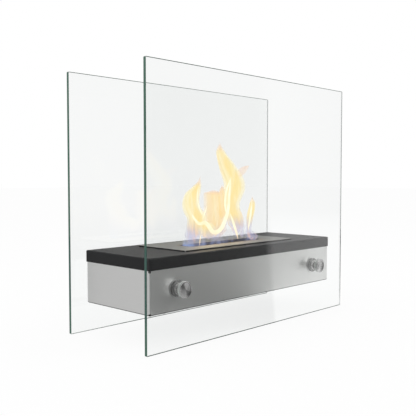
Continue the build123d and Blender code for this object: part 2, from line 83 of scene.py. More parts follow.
camera_data = bpy.data.cameras.new("studio_camera")
camera_data.lens = camera_lens
camera_data.sensor_width = 36.0
camera_data.clip_end = 100.0
camera = bpy.data.objects.new("studio_camera", camera_data)
camera.location = camera_place
camera.rotation_euler = (math.pi / 2 - camera_dip, 0.0, -camera_turn_to_right)
scene.collection.objects.link(camera)
scene.camera = camera
print("camera to object:", round(camera_place.length, 3), "m")

# %% [markdown]
# ## Shader maths in plain Python
# A material is a graph of nodes, and wiring each one by hand hides the idea behind the
# wires. One small class stands for a value that changes over a surface, so that
# `1 - mask * 0.5` adds the Math nodes by itself. Every other node comes from one method.

# %% A value that changes over a surface
class Value:
    """A number or a colour that changes over a surface: one output of one node."""

    def __init__(self, finish, socket):
        self.finish = finish
        self.socket = socket

    def math(self, operation, *others):
        terms = dict(enumerate((self,) + others))
        return self.finish.node("ShaderNodeMath", {"operation": operation}, terms)

    def output(self, name):
        return Value(self.finish, self.socket.node.outputs[name])

    def __add__(self, other):
        return self.math("ADD", other)

    def __sub__(self, other):
        return self.math("SUBTRACT", other)

    def __rsub__(self, other):
        return self * -1 + other

    def __mul__(self, other):
        return self.math("MULTIPLY", other)

    def __truediv__(self, other):
        return self.math("DIVIDE", other)

    def __neg__(self):
        return self * -1

    def __abs__(self):
        return self.math("ABSOLUTE")

    __radd__ = __add__
    __rmul__ = __mul__

    def least(self, other):
        return self.math("MINIMUM", other)

    def most(self, other):
        return self.math("MAXIMUM", other)

    def step(self, start, end):
        """0 up to start, 1 past end, and a smooth rise between them."""
        settings = {"interpolation_type": "SMOOTHSTEP", "clamp": True}
        sockets = {"Value": self, "From Min": start, "From Max": end}
        return self.finish.node("ShaderNodeMapRange", settings, sockets)

    def fall(self, start, end):
        """1 up to start, 0 past end, and a smooth fall between them."""
        return 1 - self.step(start, end)


print("a value has:", ", ".join(name for name in vars(Value) if name[0] != "_"))

# %% A finish and its nodes
class Finish:
    """A node tree with one way to add a node to it."""

    def __init__(self, tree):
        self.tree = tree
        tree.nodes.clear()

    def node(self, kind, settings=None, sockets=None, output=0):
        made = self.tree.nodes.new(kind)
        for name, setting in (settings or {}).items():
            if name == "stops":
                self.set_stops(made.color_ramp, setting)
            else:
                setattr(made, name, setting)
        for name, value in (sockets or {}).items():
            if isinstance(value, Value):
                self.tree.links.new(value.socket, made.inputs[name])
            else:
                made.inputs[name].default_value = value
        return Value(self, made.outputs[output])

    def set_stops(self, ramp, stops):
        while len(ramp.elements) < len(stops):
            ramp.elements.new(1.0)
        for element, (position, colour) in zip(ramp.elements, stops):
            element.position = position
            element.color = (*colour, 1.0)

    def mix(self, factor, first, second):
        """A colour between two colours."""
        colours = {0: factor, 6: first, 7: second}
        return self.node("ShaderNodeMix", {"data_type": "RGBA"}, colours, output=2)

    def here(self):
        """The place on the piece in metres, as x, y and z."""
        place_on_piece = self.node("ShaderNodeTexCoord", output="Object")
        split = self.node("ShaderNodeSeparateXYZ", sockets={0: place_on_piece})
        return split, split.output("Y"), split.output("Z")

    def grain(self, scale, stretch=(1, 1, 1), detail=2.0, roughness=0.5):
        """Soft noise from 0 to 1, stretched along chosen axes."""
        place_on_piece = self.node("ShaderNodeTexCoord", output="Object")
        mapping = {"Vector": place_on_piece, "Scale": stretch}
        stretched = self.node("ShaderNodeMapping", sockets=mapping)
        sockets = {"Vector": stretched, "Scale": scale, "Detail": detail, "Roughness": roughness}
        return self.node("ShaderNodeTexNoise", sockets=sockets)

    def bump(self, height, strength, distance):
        sockets = {"Height": height, "Strength": strength, "Distance": distance}
        return self.node("ShaderNodeBump", sockets=sockets)

    def show(self, shader):
        output = self.tree.nodes.new("ShaderNodeOutputMaterial")
        self.tree.links.new(shader.socket, output.inputs["Surface"])


print("a finish has:", ", ".join(name for name in vars(Finish) if name[0] != "_"))

# %% Colours, materials and pieces
def colour(red, green, blue):
    return (red, green, blue, 1.0)


def grey(level):
    return colour(level, level, level)


def distance_between(across, along):
    """The length of the straight line over two distances at right angles."""
    return (across * across + along * along).math("SQRT")


def new_material(name):
    material = bpy.data.materials.new(name)
    material.use_nodes = True
    return material, Finish(material.node_tree)


def piece_from(form, name, smooth=True):
    """A finished bmesh as a piece of the scene."""
    mesh = bpy.data.meshes.new(name)
    form.to_mesh(mesh)
    form.free()
    for face in mesh.polygons:
        face.use_smooth = smooth
    piece = bpy.data.objects.new(name, mesh)
    scene.collection.objects.link(piece)
    return piece


def dress(material, *nodes):
    """Gives CAD nodes this material in place of their plain one."""
    for node in nodes:
        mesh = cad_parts[node].data
        mesh.materials.clear()
        mesh.materials.append(material)
    print(material.name, "on", len(nodes), "nodes")


print("CAD nodes to dress:", len(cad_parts))

# %% [markdown]
# ## The studio
# Clear glass and bare steel have no look of their own: they show the room. The world
# here is plain white where the camera sees it, straight or through a pane. Where it is
# mirrored it is grey, and darkest in front of the object, which gives the steel its dark
# left part and the sharp change of tone further right. Lamps alone could not do that
# without spots on the steel. The levels are given by the direction, in degrees from the
# front towards the right, once for the walls and once for the floor near the object.

# %% What the mirrored room looks like
wall_levels = (
    (-180, 0.46),
    (-150, 0.46),
    (-120, 0.47),
    (-75, 0.50),
    (-50, 0.20),
    (-30, 0.06),
    (24, 0.08),
    (34, 0.26),
    (43, 0.29),
    (51.5, 0.47),
    (51.7, 0.60),
    (72, 0.60),
    (100, 0.40),
    (126, 0.38),
    (140, 0.45),
    (160, 0.46),
    (180, 0.46),
)
near_floor_levels = (
    (-180, 0.46),
    (-120, 0.47),
    (-90, 0.50),
    (-55, 0.10),
    (-15, 0.04),
    (25, 0.03),
    (45, 0.07),
    (51.5, 0.13),
    (51.7, 0.90),
    (100, 0.85),
    (126, 0.42),
    (180, 0.46),
)
ceiling_level = 0.95
ceiling_start = 0.36
ceiling_end = 0.80
soft_light_level = 0.85
white = grey(1.0)


def room_level(finish, levels, x, y):
    """The room's brightness in a direction, turned from the front towards the right."""
    turn = x.math("ARCTAN2", -y) / math.tau + 0.5
    stops = [(angle / 360 + 0.5, (level, level, level)) for angle, level in levels]
    return finish.node("ShaderNodeValToRGB", {"stops": stops}, {0: turn})


def light_path(finish, kind):
    """1 where light left a surface of this kind, Glossy or Diffuse, on its way here."""
    return finish.node("ShaderNodeLightPath", output=kind + " Depth").least(1.0)


print("levels for walls and near floor:", len(wall_levels), len(near_floor_levels))

# %% World
world = bpy.data.worlds.new("white_room")
scene.world = world
world.use_nodes = True
air = Finish(world.node_tree)
direction = air.node("ShaderNodeTexCoord", output="Generated")
split_direction = air.node("ShaderNodeSeparateXYZ", sockets={0: direction})
walls = room_level(air, wall_levels, split_direction, split_direction.output("Y"))
upwards = split_direction.output("Z").step(ceiling_start, ceiling_end)
room = air.mix(upwards, walls, grey(ceiling_level))
seen = air.mix(light_path(air, "Glossy"), white, room)
seen = air.mix(light_path(air, "Diffuse"), seen, grey(soft_light_level))
background = air.node("ShaderNodeBackground", sockets={"Color": seen, "Strength": 1.0})
world_output = world.node_tree.nodes.new("ShaderNodeOutputWorld")
world.node_tree.links.new(background.socket, world_output.inputs["Surface"])
print("world:", world.name)

# %% [markdown]
# The floor is as white as the room, so that its far edge doesn't show. A tenth of it is
# a real dull surface, which keeps a faint shadow under the object. In a mirror it has
# levels of its own near the object, and the walls' levels further out.

# %% Floor sheet
floor_size = 30.0
floor_drop = 0.2 * millimetre
floor_form = bmesh.new()
bmesh.ops.create_grid(floor_form, x_segments=1, y_segments=1, size=floor_size / 2)
floor = piece_from(floor_form, "floor", smooth=False)
floor.location.z = -floor_drop
print("floor:", floor_size, "m square")

# %% Floor finish
floor_shadow_share = 0.10
near_floor_start = 1.8
near_floor_end = 5.0
mirror_centre = Vector((34, -99, 0)) * millimetre

floor_material, ground = new_material("white_floor")
x, y, z = ground.here()
from_centre_x = x - mirror_centre.x
from_centre_y = y - mirror_centre.y
far_floor = room_level(ground, wall_levels, from_centre_x, from_centre_y)
near_floor = room_level(ground, near_floor_levels, from_centre_x, from_centre_y)
far = distance_between(from_centre_x, from_centre_y).step(near_floor_start, near_floor_end)
mirrored_floor = ground.mix(far, near_floor, far_floor)
ground_colour = ground.mix(light_path(ground, "Glossy"), white, mirrored_floor)
glow = ground.node("ShaderNodeEmission", sockets={"Color": ground_colour, "Strength": 1.0})
dull = ground.node("ShaderNodeBsdfDiffuse", sockets={"Color": grey(0.98)})
floor_mix = {0: floor_shadow_share, 1: glow, 2: dull}
ground.show(ground.node("ShaderNodeMixShader", sockets=floor_mix))
floor.data.materials.append(floor_material)
print("floor finish:", floor_material.name)

# %% [markdown]
# Two large soft lamps model the edges and the stand-offs. They are weak, because the
# room gives most of the light.

# %% Lamps
def soft_lamp(name, place_of_lamp, target, size, watts, tint):
    """A square lamp that points at the target."""
    lamp_data = bpy.data.lights.new(name, "AREA")
    lamp_data.shape = "SQUARE"
    lamp_data.size = size
    lamp_data.energy = watts
    lamp_data.color = tint
    lamp = bpy.data.objects.new(name, lamp_data)
    lamp.location = place_of_lamp
    aim = Vector(target) - Vector(place_of_lamp)
    lamp.rotation_euler = aim.to_track_quat("-Z", "Y").to_euler()
    scene.collection.objects.link(lamp)


lamp_target = (0.0, 0.0, 0.15)
lamp_watts = 7.0
soft_lamp("key_lamp", (1.5, -1.3, 1.7), lamp_target, 1.2, lamp_watts, (1.0, 0.99, 0.97))
soft_lamp("fill_lamp", (-1.9, 0.9, 1.5), lamp_target, 1.4, lamp_watts, (0.97, 0.98, 1.0))

# %% [markdown]
# ## Clear glass with green edges
# Float glass is clear across its 6 mm, but light that runs along the sheet passes half a
# metre of it and comes out green at the edge. Tracing that needs fifty bounces inside the
# pane. Instead the edge faces get a painted green of their own, standing in for that light,
# chosen by their place, and only from outside, so that an edge seen through the pane stays
# as clear as it is. Over the heights of the casing and the cover the green is painted
# darker, a painted reflection of them inside the edge.
# Lamps pass the pane by a transparent stand-in, as they would pass real glass.

# %% Green edge of the glass
pane_size = place("glass_front")[1]
arris = 0.7 * millimetre
casing_reflection_bottom = 62 * millimetre
casing_reflection_top = 196 * millimetre
band_fade_below = 12 * millimetre
band_fade_above = 20 * millimetre
hidden_from_inside = 0.80

glass_material, glass = new_material("clear_glass")
x, y, z = glass.here()
past_end = abs(x).math("GREATER_THAN", pane_size.x / 2 - arris)
past_top = z.math("GREATER_THAN", pane_size.z - arris)
past_bottom = z.math("LESS_THAN", arris)
on_edge = past_end.most(past_top).most(past_bottom)
inside = glass.node("ShaderNodeNewGeometry", output="Backfacing")
edge_seen = on_edge * (1 - inside * hidden_from_inside)

cloud = glass.grain(9.0, detail=3.0)
streak = glass.grain(30.0, stretch=(0.2, 0.2, 1.0), detail=4.0)
# painted reflection: over the heights of the casing and the cover the green edge is painted
# darker
band = z.step(casing_reflection_bottom - band_fade_below, casing_reflection_bottom)
band = band * z.fall(casing_reflection_top - band_fade_above, casing_reflection_top)
bright_green = glass.mix(cloud, colour(0.038, 0.105, 0.072), colour(0.085, 0.165, 0.122))
edge_green = glass.mix(streak * 0.5, bright_green, colour(0.032, 0.095, 0.068))
edge_green = glass.mix(band * 0.85, edge_green, colour(0.030, 0.082, 0.068))
edge_sockets = {"Base Color": edge_green, "Roughness": 0.22, "IOR": 1.5}
ground_edge_painted_green = glass.node("ShaderNodeBsdfPrincipled", sockets=edge_sockets)
print("dark band on the edge:", casing_reflection_bottom, "to", casing_reflection_top, "m")

# %% Clear face of the glass
face_sockets = {
    "Base Color": colour(0.990, 0.999, 0.995),
    "Roughness": 0.0,
    "IOR": 1.5,
    "Transmission Weight": 1.0,
}
clear_face = glass.node("ShaderNodeBsdfPrincipled", sockets=face_sockets)
lamp_pass = glass.node("ShaderNodeBsdfTransparent", sockets={"Color": colour(0.95, 0.96, 0.955)})
ray = glass.node("ShaderNodeLightPath", output="Is Shadow Ray")
lamp_ray = ray.most(ray.output("Is Diffuse Ray"))
body_mix = {0: lamp_ray, 1: clear_face, 2: lamp_pass}
glass_body = glass.node("ShaderNodeMixShader", sockets=body_mix)
glass_mix = {0: edge_seen, 1: glass_body, 2: ground_edge_painted_green}
glass.show(glass.node("ShaderNodeMixShader", sockets=glass_mix))
dress(glass_material, "glass_front", "glass_back")

# %% [markdown]
# ## Brushed and turned steel
# A brushed face is a mirror with thousands of fine scratches one way. Stretched noise
# gives them: long along the sheet and a fraction of a millimetre high. It moves the
# roughness and the colour a little and lifts a very low bump, because strong scratches
# would look like wood grain from arm's length. The scratches also smear what the steel
# mirrors across their own direction, which is what the anisotropy of the shader does.
# Each corner bend ends in a small relief hole above and below. The holes are so small
# that the shade in and round them is painted dark, by their distance from the bend, and
# a line of painted shade runs along the foot, by its height.

# %% Casing sizes
casing_middle, casing_size = place("casing_body")
casing_foot = casing_middle.z - casing_size.z / 2
casing_sheet = 1.2 * millimetre
foot_shade_height = 2.0 * millimetre
foot_shade_fade = 0.4 * millimetre
hole_radius = 1.7 * millimetre
hole_depth = 3.6 * millimetre
hole_axis = casing_size / 2 - Vector((1, 1, 0)) * casing_sheet
low_hole = casing_foot + hole_depth
high_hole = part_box("top_cover")[0].z - hole_depth
print("relief holes at", round(hole_axis.x, 4), round(hole_axis.y, 4), "m")

# %% Brushed steel
fine_line = 0.3 * millimetre
scratch_height = 0.03 * millimetre
sideways_scratches = (0.12, 0.12, 18.0)
long_scratches = (0.12, 18.0, 18.0)


def brushed_steel(name, light, dark, roughness, stretch, streak, foot_shade_line=0.0):
    """Brushed sheet, with painted shade along its foot and round the relief holes."""
    material, steel = new_material(name)
    x, y, z = steel.here()
    scratches = steel.grain(60.0, stretch=stretch, detail=4.0, roughness=0.6)
    clouds = steel.grain(7.0, detail=2.0)
    tone = steel.mix(scratches * 0.6 + clouds * 0.4, colour(*dark), colour(*light))
    painted_foot_shade = z.fall(foot_shade_line, foot_shade_line + foot_shade_fade)
    from_hole = distance_between(abs(x) - hole_axis.x, abs(y) - hole_axis.y)
    near_hole = from_hole.fall(hole_radius + fine_line, hole_radius + 2 * fine_line)
    below_hole_top = z.fall(low_hole, low_hole + fine_line)
    above_hole_bottom = z.step(high_hole - fine_line, high_hole)
    painted_hole_shade = near_hole * below_hole_top.most(above_hole_bottom)
    # painted shade: a dark line along the foot, and near black in and round the relief holes
    tone = steel.mix(painted_foot_shade * 0.75, tone, grey(0.08))
    tone = steel.mix(painted_hole_shade, tone, grey(0.01))
    rough = roughness + (scratches - 0.5) * 0.16 + (clouds - 0.5) * 0.06
    sockets = {
        "Base Color": tone,
        "Metallic": 1.0,
        "Roughness": rough,
        "Anisotropic": streak,
        "Anisotropic Rotation": 0.25,
        "Normal": steel.bump(scratches, 0.35, scratch_height),
    }
    steel.show(steel.node("ShaderNodeBsdfPrincipled", sockets=sockets))
    return material


casing_steel = brushed_steel(
    "brushed_casing", (0.93, 0.93, 0.92), (0.85, 0.85, 0.84), 0.38,
    sideways_scratches, 0.1, casing_foot + foot_shade_height
)
sheet_steel = brushed_steel(
    "brushed_sheet", (0.60, 0.60, 0.60), (0.48, 0.48, 0.48), 0.34, long_scratches, 0.4
)
dress(casing_steel, "casing_body")
dress(sheet_steel, "base_plate", "wall_doublers")

# %% [markdown]
# The stand-offs are turned on a lathe, so their marks are rings round their axis. Part of
# their light is painted: a painted highlight on the barrel between wall and glass, painted
# shade at the wall and in a groove, and dark patches as a painted reflection. All four
# share one finish, because they stand at the same distance either side of the middle:
# folding the left half onto the right one puts all four axes in one place.

# %% Marks, painted shade and painted highlight along a stand-off
axis_place = place("standoff_barrel_front_right")[0]
ring_pitch = 1.1 * millimetre
band_pitch = 0.8 * ring_pitch
groove_start = 1.5 * millimetre
groove_end = 2.6 * millimetre
groove_edge = 0.2 * millimetre
wall_shade_reach = 4.4 * millimetre
wall_shade_fade = 0.4 * millimetre
glass_gap = 18 * millimetre
gap_edge = 1.0 * millimetre

turned_material, turned = new_material("turned_steel")
x, y, z = turned.here()
from_axis = distance_between(abs(x) - axis_place.x, z - axis_place.z)
from_wall = abs(y) - casing_size.y / 2
rings = (from_axis * (math.tau / ring_pitch)).math("SINE") * 0.5 + 0.5
bands = (y * (math.tau / band_pitch)).math("SINE") * 0.5 + 0.5
# painted highlight on the barrel between wall and glass; painted shade at the wall and in a
# groove
painted_barrel_highlight = from_wall.fall(glass_gap - gap_edge, glass_gap)
painted_wall_shade = from_wall.fall(wall_shade_reach, wall_shade_reach + wall_shade_fade)
painted_groove_shade = from_wall.step(groove_start, groove_start + groove_edge)
painted_groove_shade = painted_groove_shade * from_wall.fall(groove_end - groove_edge, groove_end)
print("stand-off axes at", round(axis_place.x, 4), round(axis_place.z, 4), "m")

# %% Turned steel
ring_height = 0.3 * millimetre
wear = turned.grain(160.0, detail=3.0)
dark_reflection_patches = turned.grain(60.0, stretch=(1.0, 0.1, 1.0), detail=1.0)
tone = turned.mix(wear, grey(0.72), colour(0.90, 0.90, 0.89))
# painted reflection: dark patches stand in for the dark parts of what the turned faces mirror
tone = turned.mix(dark_reflection_patches.step(0.40, 0.62) * 0.45, tone, grey(0.20))
# painted highlight between wall and glass, then painted shade at the wall and in the groove
tone = turned.mix(painted_barrel_highlight * 0.75, tone, colour(0.95, 0.95, 0.94))
tone = turned.mix(painted_wall_shade * 0.75, tone, grey(0.14))
tone = turned.mix(painted_groove_shade * 0.8, tone, grey(0.03))
turned_sockets = {
    "Base Color": tone,
    "Metallic": 1.0,
    "Roughness": 0.16 + wear * 0.10,
    "Normal": turned.bump(rings * 0.6 + bands * 0.4, 1.0, ring_height),
}
turned.show(turned.node("ShaderNodeBsdfPrincipled", sockets=turned_sockets))
corners = ("front_left", "front_right", "back_left", "back_right")
dress(turned_material, *["standoff_barrel_" + corner for corner in corners])
dress(turned_material, *["standoff_cap_" + corner for corner in corners])

# %% [markdown]
# ## Satin black cover
# Powder coat is a black skin with a very fine orange peel. Its gloss is low, so from a
# low angle the top turns to a soft grey and the skirt stays nearly black. Dust and
# fingertips make the gloss uneven, more along the edges where hands lift the object.

# %% Black cover
cover_size = place("top_cover")[1]
worn_edge = 6 * millimetre
peel_height = 0.02 * millimetre
cover_material, cover = new_material("satin_black")
x, y, z = cover.here()
peel = cover.grain(900.0, detail=2.0)
dust = cover.grain(14.0, detail=5.0, roughness=0.65)
side_edge = abs(y).step(cover_size.y / 2 - worn_edge, cover_size.y / 2)
black = cover.mix(dust, colour(0.006, 0.006, 0.007), colour(0.012, 0.012, 0.013))
cover_sockets = {
    "Base Color": black,
    "Roughness": 0.36 + dust * 0.10 - side_edge * 0.06,
    "IOR": 1.34,
    "Normal": cover.bump(peel, 0.25, peel_height),
}
cover.show(cover.node("ShaderNodeBsdfPrincipled", sockets=cover_sockets))
dress(cover_material, "top_cover", "cover_rib_front", "cover_rib_back")

# %% [markdown]
# ## Burner steel with heat tint and painted light
# Stainless steel near a flame takes on straw, brown and blue oxide films, darkest where
# it gets hottest. The plate's tint follows the distance to the slot. On top lie painted
# light and shade: a faint warm strip of painted flame light in front of the slot, painted
# shade at the slot's edge and a dark painted line round the plate's outer rim. The damper
# under the slot sits in the flame and takes the tint all over.

# %% Distance to the slot
slot_half_length = 108 * millimetre
slot_half_width = 19 * millimetre
slot_corner = 11 * millimetre
slot_middle_x = -4 * millimetre
slot_middle_y = place("damper_pin")[0].y

burner_material, burner_finish = new_material("burner_steel")
x, y, z = burner_finish.here()
beyond_x = (abs(x - slot_middle_x) - (slot_half_length - slot_corner)).most(0.0)
beyond_y = (abs(y - slot_middle_y) - (slot_half_width - slot_corner)).most(0.0)
from_slot = distance_between(beyond_x, beyond_y) - slot_corner
print("slot:", 2 * slot_half_length, "by", 2 * slot_half_width, "m")

# %% Heat tint and painted light on the burner plate
plate_middle, plate_size = place("burner_plate")
edge_shade_width = 0.5 * millimetre
heat_reach = 16 * millimetre
heat_raggedness = 10 * millimetre
slot_shade_inside = -1.0 * millimetre
slot_shade_outside = 3.5 * millimetre
painted_strip_width = 26 * millimetre
painted_strip_full = 85 * millimetre
painted_strip_end = 125 * millimetre
satin = burner_finish.grain(60.0, stretch=(0.12, 16.0, 16.0), detail=4.0, roughness=0.6)
patches = burner_finish.grain(22.0, detail=3.0)
heat = (from_slot + (patches - 0.5) * heat_raggedness).fall(0.0, heat_reach)
plain = burner_finish.mix(satin, colour(0.45, 0.45, 0.44), colour(0.55, 0.55, 0.53))
straw = burner_finish.mix(patches, colour(0.50, 0.40, 0.27), colour(0.44, 0.37, 0.31))
tint_and_painted_light = burner_finish.mix(heat * 0.6, plain, straw)
# painted light: a faint warm strip in front of the slot, the flame's light painted on the plate
ahead_of_slot = abs(y - (slot_middle_y - slot_half_width - painted_strip_width / 2))
painted_flame_light = ahead_of_slot.fall(painted_strip_width * 0.3, painted_strip_width * 0.6)
painted_flame_light = painted_flame_light * abs(x).fall(painted_strip_full, painted_strip_end)
tint_and_painted_light = burner_finish.mix(painted_flame_light * 0.15, tint_and_painted_light, colour(1.0, 0.84, 0.66))
# painted shade of the slot opening along its edge, with a painted blue cast of the flame
painted_slot_shade = from_slot.fall(slot_shade_inside, slot_shade_outside)
tint_and_painted_light = burner_finish.mix(painted_slot_shade * 0.7, tint_and_painted_light, colour(0.10, 0.11, 0.17))
# painted shade: the plate's outer rim is painted nearly black, a dark line for its shaded side
past_length = abs(x - plate_middle.x).math("GREATER_THAN", plate_size.x / 2 - edge_shade_width)
past_width = abs(y - plate_middle.y).math("GREATER_THAN", plate_size.y / 2 - edge_shade_width)
tint_and_painted_light = burner_finish.mix(past_length.most(past_width), tint_and_painted_light, grey(0.05))
burner_sockets = {
    "Base Color": tint_and_painted_light,
    "Metallic": 1.0,
    "Specular Tint": colour(0.55, 0.54, 0.53),
    "Roughness": 0.44 + satin * 0.12 + heat * 0.06,
    "Normal": burner_finish.bump(satin, 0.3, scratch_height),
}
burner_finish.show(burner_finish.node("ShaderNodeBsdfPrincipled", sockets=burner_sockets))
dress(burner_material, "burner_plate")

# %% Tinted and sooty sheet inside the burner
speck_height = 0.03 * millimetre


def heated_steel(name, cool, hot, soot):
    """Sheet with oxide films in two tints and specks of soot."""
    material, steel = new_material(name)
    films = steel.grain(28.0, detail=3.0)
    specks = steel.grain(240.0, detail=3.0)
    film = steel.mix(films.step(0.30, 0.70), colour(*cool), colour(*hot))
    dirty = steel.mix(specks.step(0.45, 0.75) * soot, film, colour(0.05, 0.045, 0.04))
    sockets = {
        "Base Color": dirty,
        "Metallic": 1.0,
        "Roughness": 0.34 + specks * 0.22,
        "Normal": steel.bump(specks, 0.25, speck_height),
    }
    steel.show(steel.node("ShaderNodeBsdfPrincipled", sockets=sockets))
    return material


damper_steel = heated_steel("heat_tinted_steel", (0.30, 0.24, 0.20), (0.16, 0.17, 0.27), 0.5)
tank_steel = heated_steel("tank_steel", (0.52, 0.52, 0.50), (0.46, 0.42, 0.36), 0.25)
dress(damper_steel, "damper_slide", "damper_seat", "damper_rivets")
dress(damper_steel, "damper_rail_front", "damper_rail_back")
dress(tank_steel, "burner_housing", "fuel_reservoir", "wool_mesh")

# %% [markdown]
# ## Fasteners and gaskets
# Zinc plating is pale and slightly cloudy, black oxide is nearly dull, and silicone
# washers are milky. They are small, so a little unevenness is all that shows.

# %% Small finishes
def cloudy_finish(name, first, second, metallic, roughness, scale):
    """A plain finish in two tones that change in small clouds."""
    material, small = new_material(name)
    clouds = small.grain(scale, detail=3.0)
    sockets = {
        "Base Color": small.mix(clouds, colour(*first), colour(*second)),
        "Metallic": metallic,
        "Roughness": roughness + (clouds - 0.5) * 0.2,
        "Normal": small.bump(clouds, 0.2, speck_height),
    }
    small.show(small.node("ShaderNodeBsdfPrincipled", sockets=sockets))
    return material


zinc = cloudy_finish(
    "zinc_plate", (0.52, 0.54, 0.55), (0.66, 0.65, 0.60), 1.0, 0.35, 300.0
)
black_oxide = cloudy_finish(
    "black_oxide", (0.03, 0.03, 0.03), (0.07, 0.065, 0.06), 0.7, 0.45, 400.0
)
silicone = cloudy_finish(
    "silicone", (0.62, 0.64, 0.63), (0.74, 0.75, 0.73), 0.0, 0.45, 200.0
)
bright_steel = cloudy_finish(
    "bright_steel", (0.86, 0.86, 0.88), (0.62, 0.62, 0.66), 1.0, 0.20, 300.0
)
dress(bright_steel, "damper_pin")
dress(zinc, "standoff_studs", "stud_nuts", "stud_washers", "cover_studs", "cover_nuts")
dress(black_oxide, "base_plate_screws")
dress(silicone, "inner_gaskets", "outer_gaskets", "glass_bushings")

# %% [markdown]
# ## Ceramic wool
# The wool soaks up the fuel and holds it. CAD keeps it as a plain block, which a real
# mat never is: its faces are crowned, its edges are rounded by handling and its surface
# is tufted. A subdivided box is pushed inwards by two layers of noise, so it never
# leaves the block's space.

# %% A block cut into cells
def cut_block(form, size, axis, steps):
    """Cuts a block round the origin into even steps along one axis."""
    across = Vector((0, 0, 0))
    across[axis] = 1.0
    for cut in range(1, steps):
        cut_place = across * ((cut / steps - 0.5) * size)
        everything = form.verts[:] + form.edges[:] + form.faces[:]
        bmesh.ops.bisect_plane(form, geom=everything, plane_co=cut_place, plane_no=across)


wool_middle, wool_size = place("ceramic_wool")
wool_cell = 4.0 * millimetre
wool_form = bmesh.new()
bmesh.ops.create_cube(wool_form, size=1.0)
bmesh.ops.scale(wool_form, vec=wool_size, verts=wool_form.verts)
for axis in range(3):
    cut_block(wool_form, wool_size[axis], axis, int(wool_size[axis] / wool_cell))
print("wool cells:", len(wool_form.faces))

# %% Tufted wool
wool_crown = 3.0 * millimetre
tuft_depth = 1.3 * millimetre
for vertex in wool_form.verts:
    share = [abs(vertex.co[axis]) / (wool_size[axis] / 2) for axis in range(3)]
    second_highest = sorted(share)[1]
    inwards = wool_crown * second_highest ** 6
    tuft = noise.noise(vertex.co * 90) * 0.7 + noise.noise(vertex.co * 260) * 0.3
    inwards += tuft_depth * (0.5 + 0.5 * tuft)
    for axis in range(3):
        half = wool_size[axis] / 2
        vertex.co[axis] *= (half - inwards) / half
bmesh.ops.translate(wool_form, vec=wool_middle, verts=wool_form.verts)
bmesh.ops.recalc_face_normals(wool_form, faces=wool_form.faces)
wool = piece_from(wool_form, "wool_blanket")
print("wool size:", [round(side, 4) for side in wool.dimensions])

# %% Wool finish
fibre_height = 0.6 * millimetre
wool_material, wool_finish = new_material("ceramic_wool")
fibres = wool_finish.grain(420.0, stretch=(1.0, 0.25, 1.0), detail=5.0, roughness=0.7)
damp = wool_finish.grain(16.0, detail=3.0)
dry_wool = wool_finish.mix(fibres, colour(0.62, 0.61, 0.57), colour(0.86, 0.85, 0.81))
damp_wool = wool_finish.mix(damp.step(0.5, 0.8) * 0.3, dry_wool, colour(0.50, 0.47, 0.42))
wool_sockets = {
    "Base Color": damp_wool,
    "Roughness": 0.95,
    "Normal": wool_finish.bump(fibres, 0.8, fibre_height),
}
wool_finish.show(wool_finish.node("ShaderNodeBsdfPrincipled", sockets=wool_sockets))
wool.data.materials.append(wool_material)
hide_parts("ceramic_wool")
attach(wool, "burner")
print("wool faces:", len(wool.data.polygons))

# %% [markdown]
# ## The flame
# An ethanol flame is a set of thin glowing skins round hot gas. From the side each
# tongue looks like a curled leaf: bright along its rim, paler and more orange inside,
# faint blue where it leaves the slot. It could be a volume, but a volume is slow, noisy
# and lost in an exported model. Each tongue here is a closed skin instead: a sphere
# whose rings are moved to a few stations, given by height, middle and half width. Two
# numbers are stored on its points, the rise from root to tip and the side from -1 to 1.
# The finish reads them and fades towards both sides, so that no outline looks cut out.
# The tongues stand at different depths in the slot, as real ones do. That also keeps a
# line of sight along the slot from passing more clear skins than a render follows, which
# would end in black. A tongue that is set back moves right too, and looks the same from
# the photo's side.

# %% Stations on a smooth line
def smooth_between(stations, share):
    """A point on the smooth line through the stations, with share from 0 to 1."""
    last = len(stations) - 1
    position = min(share * last, last - 1e-9)
    number = int(position)
    part = position - number
    before = stations[max(number - 1, 0)]
    first = stations[number]
    second = stations[number + 1]
    after = stations[min(number + 2, last)]
    result = []
    for a, b, c, d in zip(before, first, second, after):
        bend = 2 * a - 5 * b + 4 * c - d
        twist = 3 * (b - c) + d - a
        result.append(b + 0.5 * part * (c - a + part * (bend + part * twist)))
    return result


print("halfway from 0 to 10:", smooth_between(((0,), (10,)), 0.5))

# %% One tongue
skin_margin = 1.22
right_per_back = 1.043
least_half_width = 0.5
end_closing = 2.2
sway_width = 4.0


def flame_tongue(name, stations, thickness, curl, wobble, set_back, seed):
    """A closed skin through stations of (height, middle, half width) in millimetres."""
    shift = random.Random(seed).uniform(0, 100)
    form = bmesh.new()
    bmesh.ops.create_uvsphere(form, u_segments=40, v_segments=60, radius=1.0)
    rise = form.verts.layers.float.new("rise")
    sideways = form.verts.layers.float.new("side")
    for vertex in form.verts:
        up = max(-1.0, min(1.0, vertex.co.z))
        share = 1 - math.acos(up) / math.pi
        ring = math.hypot(vertex.co.x, vertex.co.y)
        side = vertex.co.x / max(ring, 1e-6)
        front = vertex.co.y / max(ring, 1e-6)
        height, middle, half = smooth_between(stations, share)
        closing = min(1.0, ring * end_closing)
        ripple = 1 + wobble * noise.noise(Vector((side * 1.4, share * 5 + shift, front)))
        half = max(half, least_half_width) * closing * ripple * skin_margin
        bow = curl * (1 - side * side) * half
        sway = sway_width * noise.noise(Vector((share * 2.2, shift, 0.0)))
        depth = front * half * thickness + bow + sway + set_back
        vertex[rise] = share
        vertex[sideways] = side
        vertex.co.x = (middle + side * half + set_back * right_per_back) * millimetre
        vertex.co.y = slot_middle_y + depth * millimetre
        vertex.co.z = height * millimetre
    bmesh.ops.recalc_face_normals(form, faces=form.faces)
    return piece_from(form, name)


print("right shift per millimetre back:", right_per_back)

